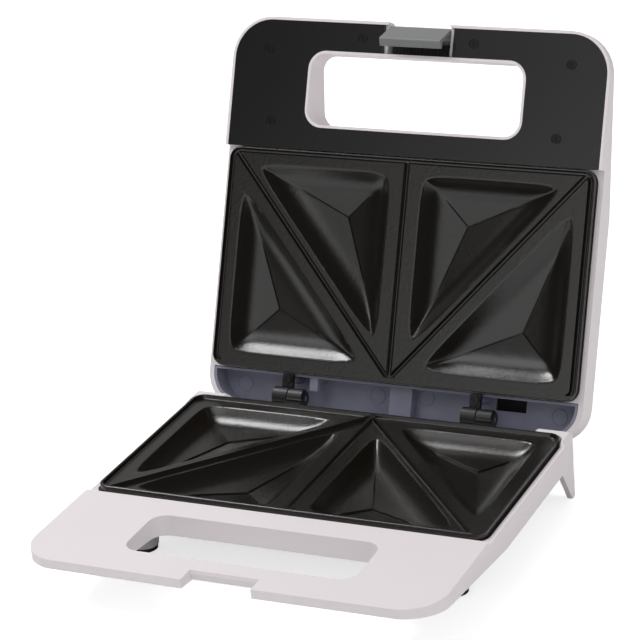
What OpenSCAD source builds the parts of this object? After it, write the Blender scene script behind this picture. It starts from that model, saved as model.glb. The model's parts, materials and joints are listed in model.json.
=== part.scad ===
// Sandwich toaster for two slices: a hinged clamshell with four triangular
// pockets in each non-stick plate. All sizes are in millimetres.
// The pieces are drawn with the lid closed: y = 0 is the rear edge of the base's
// handle, z = 0 is the plane where the plates meet. The lid is then swung open.

/* [Overall] */
// Width of the base over its side walls
body_w = 230; // [210:1:250]
// Depth of the handle in front of the plates
handle_d = 79; // [76:1:90]
// Height of the meeting plane of the plates above the table
stand_h = 39; // [37:1:48]
// Radius of the front corners in plan
front_r = 24; // [16:1:28]
// Radius of the bowed front edge of both handles
bow_r = 6500; // [3000:100:9000]
// Wall of the white mouldings
wall = 2.5; // [2:0.1:3]
// Angle of the opened lid from closed
lid_open = 113; // [95:0.5:115]

/* [Base] */
// Top of the base's handle below the meeting plane
cover_drop = 1.5; // [1:0.1:2]
// Top of the side walls below the meeting plane
ledge_drop = 3.8; // [3:0.1:4.5]
// Top of the raised rear corners below the meeting plane
deck_drop = 1.2; // [1:0.1:2]
// Width of a raised rear corner
deck_w = 20; // [14:1:30]
// Depth of the side walls below the meeting plane
side_drop = 18; // [16:0.5:20]
// Underside of the handle's front edge below the meeting plane
nose_drop = 6.5; // [6:0.1:8]
// Distance behind the handle where its sloping underside ends
slope_end = 25; // [15:1:35]
// Radius of the rear corners of the base
base_rear_r = 3; // [2:0.5:5]
// Depth of the rear deck behind the lower plate
deck_d = 7; // [6.5:0.1:7.5]
// Width of a rear leg where it leaves the side wall
leg_top_w = 20; // [16:1:26]
// Width of a rear leg's tip
leg_tip_w = 6; // [5:0.5:9]
// Thickness of a rear leg
leg_t = 3; // [2.5:0.1:4]

/* [Finger holes] */
// Width of both finger holes
hole_w = 129; // [110:1:135]
// Depth of the base's rail in front of its finger hole
rail_d = 21.8; // [20.5:0.1:26]
// Distance of the finger holes in front of the handle's rear edge
hole_back = 16.2; // [15:0.1:18]
// Corner radius of the finger holes
hole_r = 9; // [5:0.5:14]

/* [Plates] */
// Distance of the plates' sides inside the outer faces of the base
plate_in = 4; // [4:0.1:7]
// Depth of both plates
plate_d = 124.5; // [120:0.5:126]
// Gap between the base's handle and the lower plate
plate_gap = 3.2; // [3:0.1:4.5]
// Corner radius of the plates
plate_r = 7; // [5:0.5:9]
// Thickness of the cast plates
plate_t = 2; // [1.8:0.1:2.4]
// Gap between the upper plate and the walls of its seat in the lid
up_gap = 0.6; // [0.5:0.1:0.8]
// Set-back of the upper plate's rear edge from the lower one's
up_back = 1; // [0.5:0.1:1.5]
// Width of the thin rim outside the upper plate's groove
rim_w = 1.1; // [1:0.1:1.6]
// Height of the plates' side skirt
skirt_h = 7; // [6.5:0.1:7.5]
// Height of the lower plate's rim and dividing ridges
ridge_h = 2; // [1.5:0.1:2.4]
// Width of the lower plate's rim and dividing ridges
ridge_w = 2; // [1.5:0.1:2.5]
// Depth of a pocket below its flat
pocket_depth = 9; // [7:0.5:9.5]
// Corner radius of a pocket
pocket_r = 4.5; // [3:0.5:6]
// Flat between the pockets and the plate's sides and rear
pocket_margin = 10; // [9:0.5:12]
// Flat between the pockets and the plate's front
pocket_front = 5.3; // [5:0.1:8]
// Half width of the flat at the middle ridge
pocket_mid = 10; // [9:0.5:13]
// Distance of an outer pocket from the middle of the slanting ridge
strip_out = 8; // [6:0.1:10]
// Distance of an inner pocket from the middle of the slanting ridge
strip_in = 4.7; // [4.5:0.1:7]
// Distance of a slanting ridge's front end from the plate's corner
divider_in = 5.6; // [4:0.1:9]
// Gap between the closed plates
plate_clear = 0.5; // [0.3:0.1:1]

/* [Lid] */
// Set-back of the lid's sides from the sides of the base
lid_in = 0.5; // [0:0.1:1.5]
// Set-back of the lid's front edge from the front edge of the base
lid_set = 2; // [1.5:0.1:3]
// Lid behind the hinge axis
lid_back = 10; // [9:0.5:12]
// Radius of the rear corners of the lid
lid_rear_r = 20; // [14:1:26]
// Height of the lid's lip above the meeting plane
lip_h = 6; // [5.5:0.1:6.3]
// Height of the lid's handle at its front edge
lid_nose_h = 13; // [12:0.5:16]
// Height of the lid's edge at the rear
lid_rear_h = 28; // [24:0.5:30]
// Height of the lid's crown
lid_top_h = 36; // [34:0.5:44]
// Thickness of the black handle panel
panel_t = 2; // [1.6:0.1:2.4]
// White lip left around the handle panel
panel_lip = 1.7; // [1.2:0.1:2.2]

/* [Latch] */
// Width of the latch
latch_w = 37; // [30:0.5:44]
// Thickness of the latch's web
latch_t = 2; // [1.8:0.1:2.2]
// Radius of the latch's pivot pin
latch_pin_r = 1.25; // [1:0.05:1.5]
// Clearance of each pin in its bore, on the radius
pin_clear = 0.05; // [0.03:0.01:0.08]

/* [Hinges] */
// Distance of the hinge axis behind the plates
hinge_back = 13; // [12.5:0.1:14]
// Depth of the hinge axis below the meeting plane
hinge_drop = 2.5; // [2.5:0.05:3.2]
// Distance of each hinge's middle from the middle
hinge_x = 57.6; // [50:0.2:62]
// Radius of the lid's knuckle
lid_knuckle_r = 5.5; // [5:0.1:5.6]
// Radius of the base's knuckle
base_knuckle_r = 5.2; // [4.6:0.1:5.4]
// Length of the lid's knuckle
lid_knuckle_l = 8.8; // [7:0.1:10]
// Length of the base's knuckle
base_knuckle_l = 10.2; // [8:0.1:12]
// Radius of the hinge pins
hinge_pin_r = 1.5; // [1.2:0.1:1.8]

/* [Feet] */
// Distance of the front feet's middles inside the sides of the base
foot_in = 25; // [20:1:35]
// Distance of the front feet behind the handle's rear edge
foot_y = 12; // [10:1:20]
// Height of the room for the wiring under the reflector
wiring_h = 9.8; // [9.5:0.1:12]
// Radius of the rubber feet
foot_r = 7.4; // [6:0.1:9]
// Height of the rubber feet
foot_h = 2.5; // [2:0.1:4]

/* [Cord inlet] */
// Distance of the cord inlet from the middle
inlet_x = 30; // [15:1:40]
// Radius of the cord inlet's bore
inlet_bore_r = 3.2; // [3:0.1:3.6]

/* [Hidden] */
$fn = 64;
eps = 0.01;
fit = 0.3; // gap between pieces that are set into each other
plate_w = body_w - 2 * plate_in;
lid_w = body_w - 2 * lid_in;
lid_front = handle_d - lid_set;
foot_x = body_w / 2 - foot_in;
hole_d = handle_d - hole_back - rail_d;
plate_y0 = plate_gap;
plate_y1 = plate_gap + plate_d;
panel_y1 = -1.5; // rear edge of the handle panel
up_y0 = panel_y1 + up_gap;
up_y1 = plate_y1 - up_back;
bay_y0 = up_y1 + up_gap; // front of the hinge bay in the lid
rear_y = plate_y1 + deck_d;
hinge_y = plate_y1 + hinge_back;
lid_y1 = hinge_y + lid_back;
hole_y1 = -hole_back;
hole_y0 = -hole_back - hole_d;

// Lower plate heights
flat_z = -ridge_h;
bulge_z = flat_z - pocket_depth - plate_t;
// Upper plate heights
up_z = plate_clear;
groove_h = ridge_h - plate_clear;
up_t = max(plate_t, groove_h + 0.8); // the flats, thick enough under their grooves
bulge_up_z = up_z + pocket_depth + plate_t;

// Heating elements and reflectors
tube_r = 3.2;
tray_t = 0.8;
tube_z = bulge_z - tube_r - 0.2;
tray_z = tube_z - tube_r - fit - tray_t;
tube_up_z = bulge_up_z + tube_r + 0.2;
tray_up_z = tube_up_z + tube_r + fit;
tray_rim = 4;

// Centre of the whole opened toaster, front to back
nose_fillet = 6;
lid_tail = lid_nose_h - nose_fillet;
reach = hinge_y + lid_front - nose_fillet;
back_y = hinge_y + reach * -cos(lid_open) + (lid_tail + hinge_drop) * sin(lid_open) + nose_fillet;
mid_y = (back_y - handle_d) / 2;

// Latch: pivot and profile, with the lid closed
latch_py = -handle_d + 9;
latch_pz = lid_nose_h - 5.5;
latch_lean = 26.7;
latch_out = 6.3;
latch_l = 20.1;
latch_barrel_r = 2.6;
catch_set = 10.7; // set-back of the catch bar's top edge
slot_w = latch_w + 0.6;
cheek = 2.2;
catch_clear = 0.4; // gap between the latch's web and the catch bar
latch_slot_y = latch_py + 11;

// Screws of the handle panel
panel_y0 = -lid_front + panel_lip;
panel_screws = [for (s = [-1, 1]) each [[s * (lid_w / 2 - 22.7), -lid_front + 18.8],
    [s * (slot_w / 2 + 14.8), -lid_front + 10.1], [s * (lid_w / 2 - 27.7), panel_y1 - 15.5]]];
screw_r = 2.1;
screw_head_r = 2.6;
screw_head_h = 1;
screw_core_r = 1.1;

// Pocket corners of the right half: the outer pocket's right angle is at its
// rear outer corner, the inner one's at its front inner corner
half_x0 = pocket_mid;
half_x1 = plate_w / 2 - pocket_margin;
half_y0 = plate_y0 + pocket_front;
half_y1 = plate_y1 - pocket_margin;
// the slanting ridge's ends and its normal; both pockets' long sides run beside it
div_0 = [plate_w / 2 - divider_in, plate_y0];
div_1 = [0, plate_y1 - 1.3 * ridge_w];
div_n = [(div_1 - div_0)[1], (div_0 - div_1)[0]] / norm(div_1 - div_0);
function side_at_x(c, x) = (c - div_n[0] * x) / div_n[1];
function side_at_y(c, y) = (c - div_n[1] * y) / div_n[0];
side_out = div_n * div_0 + strip_out;
side_in = div_n * div_0 - strip_in;
outer_tri = [[half_x1, half_y1], [side_at_y(side_out, half_y1), half_y1], [half_x1, side_at_x(side_out, half_x1)]];
inner_tri = [[half_x0, half_y0], [side_at_y(side_in, half_y0), half_y0], [half_x0, side_at_x(side_in, half_x0)]];

// Pocket walls: [share of the way in to the middle, share of the depth]
pocket_rings = [[-0.02, 0], [0.03, 0.1], [0.09, 0.4], [0.18, 0.66], [0.32, 0.81], [0.62, 0.92], [0.97, 1]];
corner_steps = 5;

// Posts under the flats that carry the reflectors: one between each pair of pockets
// and one on the middle line
post_x = (half_x0 + half_x1) / 2;
post_y = (half_y0 + half_y1) / 2;
post_xy = [[-post_x, post_y], [post_x, post_y], [0, half_y0 + 36]];
post_r = 3.6;
middle_y = (plate_y0 + plate_y1) / 2;

// Lengths of the screws' shanks
base_screw_l = 6;
plate_screw_l = 7;
bracket_screw_l = 8;
panel_screw_l = 7;
leaf_screw_l = 9;

// The element's loop runs under the deepest points of the pockets
loop_x = incentre(outer_tri)[0];
loop_y0 = incentre(inner_tri)[1];
loop_y1 = incentre(outer_tri)[1];
loop_bend = 10;
tail_x = 16;
tail_y = plate_y1 - 18;
tray_w = 2 * (loop_x + tube_r + 3);
tray_y0 = loop_y0 - tube_r - 1.5;
tray_y1 = tail_y;

// ---- helpers -------------------------------------------------------------

module in_base() { translate([0, -mid_y, stand_h]) children(); }

module in_lid() {
    in_base() translate([0, hinge_y, -hinge_drop]) rotate([-lid_open, 0, 0])
        translate([0, -hinge_y, hinge_drop]) children();
}

// A YZ profile extruded along X, centred
module along_x(len) { rotate([90, 0, 90]) translate([0, 0, -len / 2]) linear_extrude(len) children(); }

// An XZ profile extruded along Y, from y0 to y1
module along_y(y0, y1) { translate([0, y1, 0]) rotate([90, 0, 0]) linear_extrude(y1 - y0) children(); }

// Rounded rectangle from (-w/2, y0) to (w/2, y1), front radius rf, rear radius rr
module slab(w, y0, y1, rf, rr) {
    translate([-w / 2, y0 + rf]) square([w, y1 - y0 - rf - rr]);
    translate([-w / 2 + rf, y0]) square([w - 2 * rf, rf + 1]);
    translate([-w / 2 + rr, y1 - rr - 1]) square([w - 2 * rr, rr + 1]);
    for (s = [-1, 1]) {
        translate([s * (w / 2 - rf), y0 + rf]) circle(rf);
        translate([s * (w / 2 - rr), y1 - rr]) circle(rr);
    }
}

// The same with a bowed front edge
module bowed_slab(w, y0, y1, rf, rr) {
    intersection() {
        slab(w, y0, y1, rf, rr);
        translate([0, y0 + bow_r]) circle(bow_r, $fn = 720);
    }
}

// Upright prism of a plan shape between two heights
module prism(z0, z1) { translate([0, 0, z0]) linear_extrude(z1 - z0) children(); }

module hole_plan(grow) {
    slab(hole_w + 2 * grow, hole_y0 - grow, hole_y1 + grow, hole_r + grow, hole_r + grow);
}

module plate_plan(inset) {
    r = max(plate_r - inset, 1);
    slab(plate_w - 2 * inset, plate_y0 + inset, plate_y1 - inset, r, r);
}

module up_plan(inset) {
    r = max(plate_r - inset, 1);
    slab(plate_w - 2 * inset, up_y0 + inset, up_y1 - inset, r, r);
}

// Centre of a triangle's inscribed circle
function side_len(t, i) = norm(t[(i + 1) % 3] - t[(i + 2) % 3]);
function incentre(t) = (t[0] * side_len(t, 0) + t[1] * side_len(t, 1) + t[2] * side_len(t, 2))
    / (side_len(t, 0) + side_len(t, 1) + side_len(t, 2));
function inradius(t) = abs((t[1] - t[0])[0] * (t[2] - t[0])[1] - (t[1] - t[0])[1] * (t[2] - t[0])[0])
    / (side_len(t, 0) + side_len(t, 1) + side_len(t, 2));
function out_angle(t, i) = let (d = t[(i + 1) % 3] - t[i]) atan2(-d[0], d[1]);
function turn(a, b) = let (d = b - a) d > 180 ? d - 360 : d < -180 ? d + 360 : d;

// Rounded triangle, drawn a share s of the way in to its middle, grown outwards by g
function tri_ring(t, s, g) = let (c = incentre(t), r = inradius(t), ro = pocket_r * (1 - max(s, 0)) + 0.3 + g)
    [for (i = [0:2], k = [0:corner_steps]) let (
        v = c + (t[i] - c) * (1 - s + g / r),
        o = v + (c - v) * ro / (r * (1 - s) + g),
        a0 = out_angle(t, (i + 2) % 3),
        a = a0 + turn(a0, out_angle(t, i)) * k / corner_steps)
        o + ro * [cos(a), sin(a)]];

// Solid lofted through the pocket rings, from height z0 along dir (-1 down, 1 up)
module pocket_loft(t, z0, dir, depth, g, cap) {
    n = 3 * (corner_steps + 1);
    rings = concat([for (q = tri_ring(t, pocket_rings[0][0], g)) [q[0], q[1], z0 - dir * cap]],
        [for (p = pocket_rings) each [for (q = tri_ring(t, p[0], g)) [q[0], q[1], z0 + dir * p[1] * depth]]]);
    m = len(pocket_rings) + 1;
    side = [for (j = [0:m - 2], i = [0:n - 1], h = [0, 1]) let (a = j * n + i, b = j * n + (i + 1) % n)
        h == 0 ? [a, b, b + n] : [a, b + n, a + n]];
    ends = [[for (i = [0:n - 1]) n - 1 - i], [for (i = [0:n - 1]) (m - 1) * n + i]];
    turned = (t[1] - t[0])[0] * (t[2] - t[0])[1] - (t[1] - t[0])[1] * (t[2] - t[0])[0] > 0 ? 1 : -1;
    faces = concat(side, ends);
    polyhedron(rings, turned * dir < 0 ? faces : [for (f = faces) [for (i = [len(f) - 1:-1:0]) f[i]]]);
}

// Three thin ridges of a pocket, from its middle towards its corners
module pocket_ribs(t, z0, dir, depth) {
    c = incentre(t);
    for (i = [0:2]) {
        d = t[i] - c;
        rib_l = 0.5 * norm(d);
        translate([c[0], c[1], z0 + dir * depth * 0.99]) rotate([0, 0, atan2(d[1], d[0])])
            rotate([0, dir * atan(0.1 * depth / rib_l), 0])
                translate([-1, -0.4, dir > 0 ? -0.7 : -1.2]) cube([rib_l + 1, 0.8, 1.9]);
    }
}

module each_pocket() {
    for (m = [0, 1]) mirror([m, 0, 0]) children();
}

// Lines that divide the plate into its four fields
module divider_plan(w) {
    len = norm(div_1 - div_0);
    intersection() {
        plate_plan(ridge_w / 2);
        union() {
            translate([-w / 2, plate_y0]) square([w, plate_d]);
            for (s = [-1, 1]) translate([s * div_0[0], div_0[1]])
                rotate(atan2(div_1[1] - div_0[1], -s * div_0[0])) translate([-8, -w / 2]) square([len + 10, w]);
        }
    }
}

// Sheet-metal tray, floor between z and z + tray_t, rim on side dir
module tray(z, dir) {
    rim_z0 = dir > 0 ? z : z - tray_rim;
    rim_z1 = dir > 0 ? z + tray_rim : z + tray_t;
    r = 8;
    difference() {
        prism(rim_z0, rim_z1) slab(tray_w, tray_y0, tray_y1, r, r);
        prism(dir > 0 ? z + tray_t : z - tray_rim - 1, dir > 0 ? z + tray_rim + 1 : z)
            slab(tray_w - 2 * tray_t, tray_y0 + tray_t, tray_y1 - tray_t, r - tray_t, r - tray_t);
        // the element's ends pass through the rear rim
        for (s = [-1, 1]) translate([s * tail_x - tube_r - 0.5, tray_y1 - 2, dir > 0 ? z + tray_t : z - tray_rim - 1])
            cube([2 * tube_r + 1, 4, tray_rim + 1]);
        for (p = post_xy) translate([p[0], p[1], z - 1]) cylinder(r = screw_core_r + 0.3, h = 3);
    }
}

// Tubular heating element: three straight runs and two bends, with cold ends to the rear
module element(z) {
    ex = loop_x;
    ey0 = loop_y0;
    ey1 = loop_y1;
    bend = loop_bend;
    // each straight run is a little fatter than the bends and laps over their ends
    run_r = tube_r + 0.05;
    lap = 0.5;
    translate([0, 0, z]) {
        translate([-ex + bend - lap, ey0, 0]) rotate([0, 90, 0]) cylinder(r = run_r, h = 2 * (ex - bend + lap));
        for (m = [0, 1]) mirror([m, 0, 0]) {
            translate([ex - bend, ey0 + bend, 0]) rotate([0, 0, -90]) rotate_extrude(angle = 90)
                translate([bend, 0]) circle(tube_r);
            translate([ex, ey0 + bend - lap, 0]) rotate([-90, 0, 0])
                cylinder(r = run_r, h = ey1 - ey0 - 2 * bend + 2 * lap);
            translate([ex - bend, ey1 - bend, 0]) rotate_extrude(angle = 90)
                translate([bend, 0]) circle(tube_r);
            translate([tail_x + bend - lap, ey1, 0]) rotate([0, 90, 0])
                cylinder(r = run_r, h = ex - tail_x - 2 * bend + 2 * lap);
            translate([tail_x + bend, ey1 + bend, 0]) rotate([0, 0, 180]) rotate_extrude(angle = 90)
                translate([bend, 0]) circle(tube_r);
            translate([tail_x, ey1 + bend - lap, 0]) rotate([-90, 0, 0])
                cylinder(r = run_r, h = tail_y - ey1 - bend + lap);
            translate([tail_x, tail_y - 1, 0]) rotate([-90, 0, 0]) cylinder(r = 1.2, h = 8);
        }
    }
}

// Countersunk cross-head screw, head up at the origin, shank of length len downwards
module screw(len, head_r, head_h, shank_r) {
    difference() {
        union() {
            translate([0, 0, -head_h]) cylinder(r = head_r, h = head_h);
            translate([0, 0, -head_h - len]) cylinder(r = shank_r, h = len + eps);
        }
        for (a = [0, 90]) rotate([0, 0, a]) translate([-head_r * 0.62, -0.35, -0.6]) cube([head_r * 1.24, 0.7, 1]);
    }
}

// ---- base ----------------------------------------------------------------

// Side view of the casing's outer form
module casing_profile() {
    polygon([[-handle_d - 1, -cover_drop], [0, -cover_drop], [0, -ledge_drop], [rear_y + 1, -ledge_drop],
        [rear_y + 1, -side_drop], [slope_end, -side_drop], [-handle_d - 1, -nose_drop]]);
}

module base_plan(inset) {
    bowed_slab(body_w - 2 * inset, -handle_d + inset, rear_y - inset, front_r - inset,
        max(base_rear_r - inset, 0.5));
}

// Raised rear corners that close round the corners of the plate, chamfered on all sides
deck_y = plate_y1 - 6.5;
module deck() {
    rise = ledge_drop - deck_drop;
    intersection() {
        prism(-side_drop, -deck_drop) base_plan(0);
        along_y(deck_y - rise, rear_y + 1) polygon([[-body_w / 2, -side_drop], [-body_w / 2, -ledge_drop],
            [-body_w / 2 + 2, -deck_drop], [body_w / 2 - 2, -deck_drop], [body_w / 2, -ledge_drop],
            [body_w / 2, -side_drop]]);
        along_x(body_w + 2) polygon([[deck_y - rise, -side_drop], [deck_y - rise, -ledge_drop],
            [deck_y, -deck_drop], [rear_y - 1.5, -deck_drop], [rear_y + 1, -deck_drop - 2.5],
            [rear_y + 1, -side_drop]]);
        union() for (m = [0, 1]) mirror([m, 0, 0]) along_y(deck_y - rise - 1, rear_y + 2)
            polygon([[body_w / 2 - deck_w - rise, -side_drop], [body_w / 2 - deck_w - rise, -ledge_drop],
                [body_w / 2 - deck_w, -deck_drop], [body_w / 2 + 1, -deck_drop], [body_w / 2 + 1, -side_drop]]);
    }
}

leg_web_w = 11;
leg_web_h = 12;
// Rear leg on the right: a fin that carries on from the side wall and narrows to its tip
module leg() {
    tip_y = rear_y - 2;
    translate([body_w / 2 - leg_t, 0, 0]) rotate([90, 0, 90]) linear_extrude(leg_t)
        polygon([[rear_y - base_rear_r, -side_drop], [tip_y, -stand_h + 1], [tip_y - 0.6, -stand_h],
            [tip_y - leg_tip_w + 1.5, -stand_h], [tip_y - leg_tip_w, -stand_h + leg_tip_w / 3],
            [rear_y - 1 - leg_top_w, -side_drop]]);
    // web that stiffens the fin along the rear wall
    translate([body_w / 2 - leg_web_w - base_rear_r, rear_y, -side_drop]) rotate([90, 0, 0]) linear_extrude(wall)
        polygon([[0, 0], [leg_web_w, 0], [leg_web_w, -leg_web_h], [leg_web_w - wall, -leg_web_h],
            [leg_web_w / 3, -leg_web_h / 2]]);
}

module base_casing() {
    color("white") in_base() difference() {
        union() {
            difference() {
                union() {
                    intersection() {
                        prism(-side_drop, -cover_drop) base_plan(0);
                        along_x(body_w + 2) casing_profile();
                    }
                    deck();
                }
                // hollow of the handle
                intersection() {
                    prism(-side_drop - 1, -cover_drop - wall) base_plan(wall);
                    along_x(body_w) polygon([[-handle_d, 0], [-wall, 0], [-wall, -side_drop - 1],
                        [-handle_d, -side_drop - 1]]);
                }
                // hollow of the body below the shelf
                intersection() {
                    prism(-side_drop - 1, -shelf_z1) base_plan(wall);
                    translate([-body_w / 2, -wall - 1, -side_drop - 1]) cube([body_w, rear_y + wall, side_drop]);
                }
            }
            // sleeve of the finger hole
            intersection() {
                prism(-side_drop, -cover_drop - 1) hole_plan(wall);
                along_x(body_w) casing_profile();
            }
            // solid catch bar in the front edge
            intersection() {
                prism(-side_drop, -cover_drop - 1) base_plan(0.5);
                along_x(slot_w + 2 * cheek) polygon([[-handle_d, 0], [hole_y0, 0], [hole_y0, -side_drop],
                    [-handle_d, -side_drop]]);
                along_x(slot_w + 2 * cheek) casing_profile();
            }
            for (m = [0, 1]) mirror([m, 0, 0]) leg();
            base_bosses();
        }
        // openings for the plate, the shelf, the finger hole and the latch
        prism(-shelf_z0, 1) plate_plan(-1.3);
        prism(-shelf_z1 - 1, 1) plate_plan(4.5);
        prism(-side_drop - 1, 1) hole_plan(0);
        latch_recess();
        for (p = base_screw_xy) translate([p[0], p[1], -side_drop - 1])
            cylinder(r = screw_core_r, h = under_z(p[1]) + 7 + side_drop + 1);
        for (s = [-1, 1]) translate([bracket_mid(s), rear_y - wall - 6, bracket_screw_z])
            rotate([-90, 0, 0]) cylinder(r = screw_core_r, h = 10);
    }
}

// Shelf under the lower plate's skirt
shelf_z0 = skirt_h;
shelf_z1 = skirt_h + 2;

// Bosses for the bottom cover's screws
boss_x = plate_w / 2 - 4;
front_boss = [body_w / 2 - 17, -handle_d + 31];
base_screw_xy = [for (s = [-1, 1]) each [[s * front_boss[0], front_boss[1]], [s * boss_x, slope_end + 15],
    [s * boss_x, rear_y - 24]]];
module base_bosses() {
    for (p = base_screw_xy) intersection() {
        translate([p[0], p[1], -side_drop + bottom_t + fit])
            cylinder(r = 3.5, h = side_drop - bottom_t - fit - (p[1] < 0 ? cover_drop + 1 : shelf_z1 - 0.5));
        translate([0, 0, bottom_t + fit]) along_x(body_w) casing_profile();
    }
    // blocks behind the rear wall for the hinge brackets
    for (s = [-1, 1]) translate([bracket_mid(s) - 5, rear_y - 7, bracket_screw_z - 4])
        cube([10, 5, 3.5 - bracket_screw_z - ledge_drop]);
}

// Recess in the front edge where the latch hooks under the catch bar
module latch_recess() {
    catch_y = -handle_d + catch_set;
    z1 = -cover_drop - 1.8;
    z2 = -side_drop;
    along_x(slot_w + 1) polygon([[-handle_d - 2, 1], [catch_y, 1], [catch_y, -cover_drop - 0.01],
        latch_pt(latch_s(z1, latch_in - catch_clear), latch_in - catch_clear),
        latch_pt(latch_s(z2, latch_in - catch_clear), latch_in - catch_clear), [-handle_d - 2, z2]]);
}

bottom_t = 2.6;
pan_t = 2;
pan_w = tray_w + 14;
pan_y0 = tray_y0 - 6;
pan_y1 = plate_y1 - 5;
pan_z = tray_z - wiring_h - pan_t;
pan_draft = 8;

// Bottom cover: a plate that follows the underside, a tapered wiring pan and two foot bosses
module pan_form(inset) {
    y1 = pan_y1;
    intersection() {
        along_x(pan_w) polygon([[pan_y0 + inset, -side_drop + bottom_t], [pan_y0 + pan_draft + inset, pan_z + inset],
            [y1 - pan_draft - inset, pan_z + inset], [y1 - inset, -side_drop + bottom_t]]);
        along_y(0, rear_y) polygon([[-pan_w / 2 + inset, -side_drop + bottom_t],
            [-pan_w / 2 + pan_draft + inset, pan_z + inset], [pan_w / 2 - pan_draft - inset, pan_z + inset],
            [pan_w / 2 - inset, -side_drop + bottom_t]]);
        prism(pan_z - 1, 0) slab(pan_w - 2 * inset, pan_y0 + inset, y1 - inset, 10 - inset, 10 - inset);
    }
}

module base_bottom() {
    color("gainsboro") in_base() difference() {
        union() {
            intersection() {
                prism(-side_drop, -nose_drop + bottom_t) base_plan(wall + fit);
                difference() {
                    translate([0, 0, 0]) along_x(body_w) casing_profile();
                    translate([0, 0, bottom_t]) along_x(body_w) bottom_profile();
                }
            }
            pan_form(0);
            inlet_box(0, pan_z, -side_drop + bottom_t);
            for (s = [-1, 1]) translate([s * foot_x, foot_y, -stand_h + foot_h])
                cylinder(r1 = foot_r + 0.6, r2 = foot_r + 3, h = stand_h - foot_h - side_drop + bottom_t + 0.5);
        }
        difference() {
            translate([0, 0, eps]) pan_form(pan_t);
            for (x = [-50, 50]) translate([x - 1, 0, -side_drop - 20]) cube([2, rear_y, 8]);
        }
        prism(-side_drop - 1, 1) hole_plan(wall + fit);
        prism(-side_drop - 1, 1) translate([-slot_w / 2 - cheek - fit, -handle_d]) square([slot_w + 2 * cheek + 2 * fit,
            handle_d + hole_y0]);
        for (p = base_screw_xy) translate([p[0], p[1], -stand_h]) {
            cylinder(r = screw_core_r + 0.4, h = stand_h);
            cylinder(r = 2.9, h = stand_h + under_z(p[1]) + 0.5);
        }
        inlet_box(inlet_wall, pan_z + pan_t, -side_drop);
        translate([-inlet_x, inlet_y - inlet_wall - 1, inlet_z]) rotate([-90, 0, 0])
            cylinder(r = inlet_seat_r, h = inlet_wall + 2);
        for (s = [-1, 1]) translate([s * foot_x, foot_y, -stand_h]) {
            cylinder(r = foot_stem_r + 0.1, h = foot_h + foot_stem_h + 0.5);
            translate([0, 0, foot_h + foot_stem_h + 0.5])
                cylinder(r = foot_r - 2, h = stand_h - side_drop - foot_h - foot_stem_h - 2.5);
        }
    }
}

module bottom_profile() {
    polygon([[-handle_d - 1, 10], [rear_y + 1, 10], [rear_y + 1, -side_drop], [slope_end, -side_drop],
        [-handle_d - 1, -nose_drop]]);
}

// Height of the underside at a distance y behind the handle's rear edge
function under_z(y) = y > slope_end ? -side_drop
    : -side_drop + (slope_end - y) * (side_drop - nose_drop) / (slope_end + handle_d + 1);

module base_screws() {
    color("silver") in_base() for (p = base_screw_xy) translate([p[0], p[1], under_z(p[1]) - 0.7])
        mirror([0, 0, 1]) screw(base_screw_l, screw_head_r, 1.2, screw_core_r - 0.02);
}

foot_stem_r = 2.5;
foot_stem_h = 5.5;
module rubber_feet() {
    color("black") in_base() for (s = [-1, 1]) translate([s * foot_x, foot_y, -stand_h]) {
        difference() {
            cylinder(r = foot_r, h = foot_h);
            translate([0, 0, -eps]) cylinder(r = foot_r - 2.5, h = 0.6);
        }
        cylinder(r = foot_stem_r, h = foot_h + foot_stem_h);
    }
}

module lower_plate() {
    color([0.2, 0.19, 0.19]) in_base() difference() {
        union() {
            difference() {
                prism(-skirt_h, 0) plate_plan(0);
                prism(flat_z, 1) plate_plan(ridge_w);
                prism(-skirt_h - 1, flat_z - plate_t) plate_plan(1.6);
            }
            prism(flat_z - 0.5, 0) divider_plan(ridge_w);
            each_pocket() for (t = [outer_tri, inner_tri])
                pocket_loft(t, flat_z - 0.2, -1, pocket_depth + plate_t - 0.2, plate_t * 0.9, 0);
            for (p = post_xy) translate([p[0], p[1], tray_z + tray_t]) cylinder(r = post_r, h = -tray_z - tray_t + flat_z - 1);
        }
        each_pocket() for (t = [outer_tri, inner_tri]) difference() {
            pocket_loft(t, flat_z, -1, pocket_depth, 0, 1);
            pocket_ribs(t, flat_z, -1, pocket_depth);
        }
        for (p = post_xy) translate([p[0], p[1], tray_z]) cylinder(r = screw_core_r, h = 8);
    }
}

module lower_element() { color("dimgray") in_base() element(tube_z); }

module lower_reflector() { color("silver") in_base() tray(tray_z, 1); }

module lower_plate_screws() {
    color("silver") in_base() for (p = post_xy) translate([p[0], p[1], tray_z - 1.5])
        mirror([0, 0, 1]) screw(plate_screw_l, screw_head_r + 0.2, 1.5, screw_core_r - 0.02);
}

module thermostat() {
    color("sienna") in_base() {
        translate([0, middle_y, flat_z - plate_t - 8]) cylinder(r = 7, h = 8);
        for (s = [-1, 1]) translate([s * 4 - 1.5, middle_y + 6, flat_z - plate_t - 6]) cube([3, 8, 0.8]);
    }
}

module terminal_block() {
    color("ivory") in_base() translate([-inlet_x, pan_y1 - 30.7, pan_z + pan_t + eps]) difference() {
        cube([30, 12, 9]);
        for (i = [0:2]) translate([5 + 10 * i, -1, 4]) rotate([-90, 0, 0]) cylinder(r = 1.7, h = 14);
    }
}

// Box at the rear of the wiring pan that holds the cord inlet in an upright wall
inlet_seat_r = inlet_bore_r + 1.5;
inlet_wall = 2.2;
inlet_y = pan_y1 - 0.5;
inlet_z = pan_z + 7.1;
module inlet_box(inset, z0, z1) {
    translate([-inlet_x - 9 + inset, pan_y1 - pan_draft - 4, z0])
        cube([18 - 2 * inset, inlet_y - inset - pan_y1 + pan_draft + 4, z1 - z0]);
}

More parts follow.
